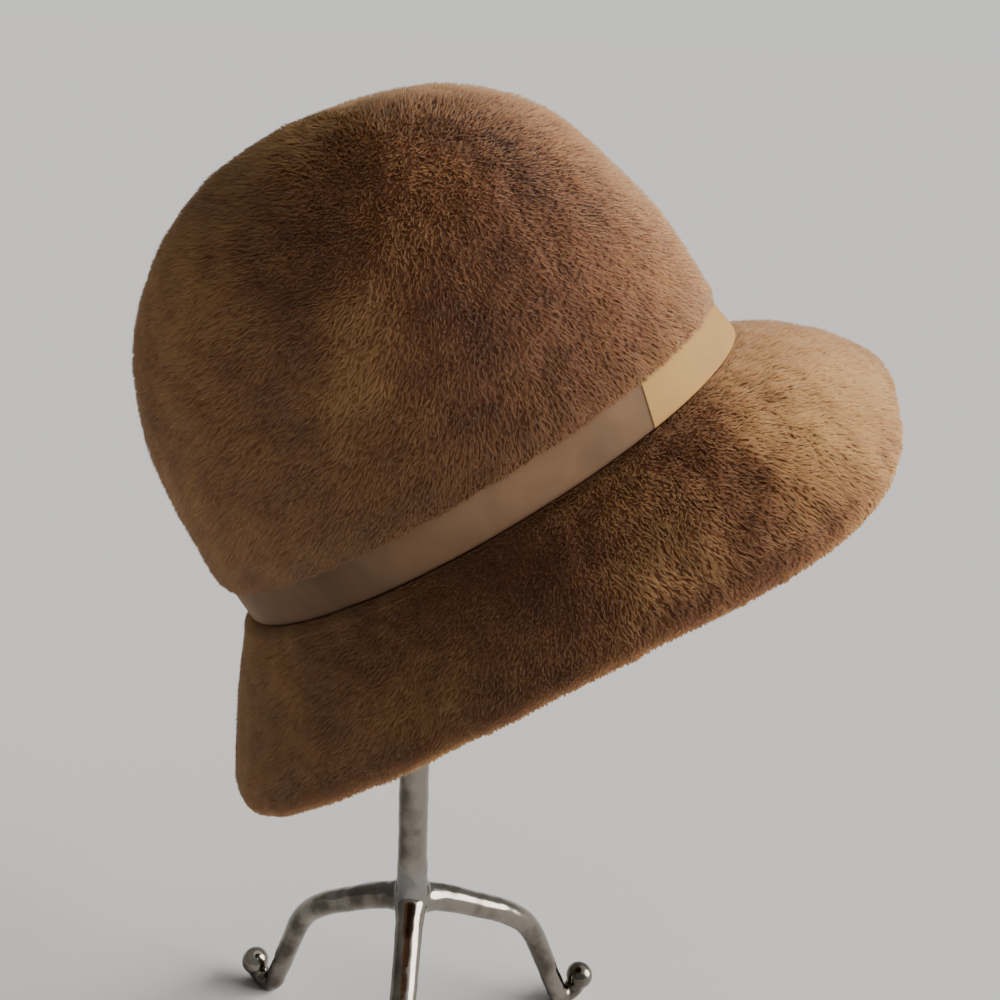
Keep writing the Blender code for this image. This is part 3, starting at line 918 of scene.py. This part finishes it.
spots = np.zeros(len(bar.vertices) * 3)
bar.vertices.foreach_get("co", spots)
spots = spots.reshape(-1, 3)
joins = np.zeros(len(bar.edges) * 2, np.int64)
bar.edges.foreach_get("vertices", joins)
start, end = joins.reshape(-1, 2).T
neighbours = np.bincount(joins, minlength=len(spots))[:, None]
for step in SMOOTHING:
    total = np.stack(
        [
            np.bincount(start, along[end], len(spots)) + np.bincount(end, along[start], len(spots))
            for along in spots.T
        ],
        -1,
    )
    spots = spots + step * (total / neighbours - spots)
bar.vertices.foreach_set("co", spots.ravel())
bar.update()
facing = np.zeros(len(bar.vertices) * 3)
bar.vertices.foreach_get("normal", facing)
solder = hump(spots[:, 2], SOLDER_AT, SOLDER_SPREAD)
uneven = (CAST_RIPPLE + SOLDER_RIPPLE * solder) * MM * ripple(spots, RIPPLE_SIZE, 61, 1)
spots = spots + facing.reshape(-1, 3) * uneven[:, None]
spots[:, 2] = np.maximum(spots[:, 2], 0)
bar.vertices.foreach_set("co", spots.ravel())
bar.shade_smooth()

plating, tree, shader = material_of("chrome_plating", {"Metallic": 1})
place = node(tree, "TexCoord")
tarnish = node(tree, "TexNoise", {"Scale": 60, "Detail": 6})
tints = ramp(tree, CHROME_TINTS)
# Painted shade and reflection: the sides facing -x are made darker, on top of the random tarnish.
facing_way = node(tree, "NewGeometry")
ways = node(tree, "SeparateXYZ")
tarnish_and_painted_shade = node(tree, "Math", {1: 0.18}, operation="MULTIPLY_ADD")
heights = node(tree, "SeparateXYZ")
level = node(tree, "Math", {1: 5}, operation="MULTIPLY")
solder_ring = ramp(tree, SOLDER_RING, "EASE")
soldered = node(tree, "Mix", {"B": SOLDER_TINT}, data_type="RGBA")
gloss = node(tree, "MapRange", {"To Min": 0.26, "To Max": 0.08})
dimple = node(tree, "TexNoise", {"Scale": 260, "Detail": 2})
relief = node(tree, "Bump", {"Strength": 0.15, "Distance": 0.4 * MM})
wire(
    tree,
    (place, "Object", tarnish, "Vector"),
    (facing_way, "Normal", ways, "Vector"),
    (ways, "X", tarnish_and_painted_shade, 0),
    (tarnish, "Fac", tarnish_and_painted_shade, 2),
    (tarnish_and_painted_shade, 0, tints, "Fac"),
    (place, "Object", heights, "Vector"),
    (heights, "Z", level, 0),
    (level, 0, solder_ring, "Fac"),
    (solder_ring, "Color", soldered, "Factor"),
    (tints, "Color", soldered, "A"),
    (soldered, "Result", shader, "Base Color"),
    (tarnish, "Fac", gloss, "Value"),
    (gloss, "Result", shader, "Roughness"),
    (place, "Object", dimple, "Vector"),
    (dimple, "Fac", relief, "Height"),
    (relief, "Normal", shader, "Normal"),
)
bar.materials.clear()
bar.materials.append(plating)
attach(stand, "root")
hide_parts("stand")
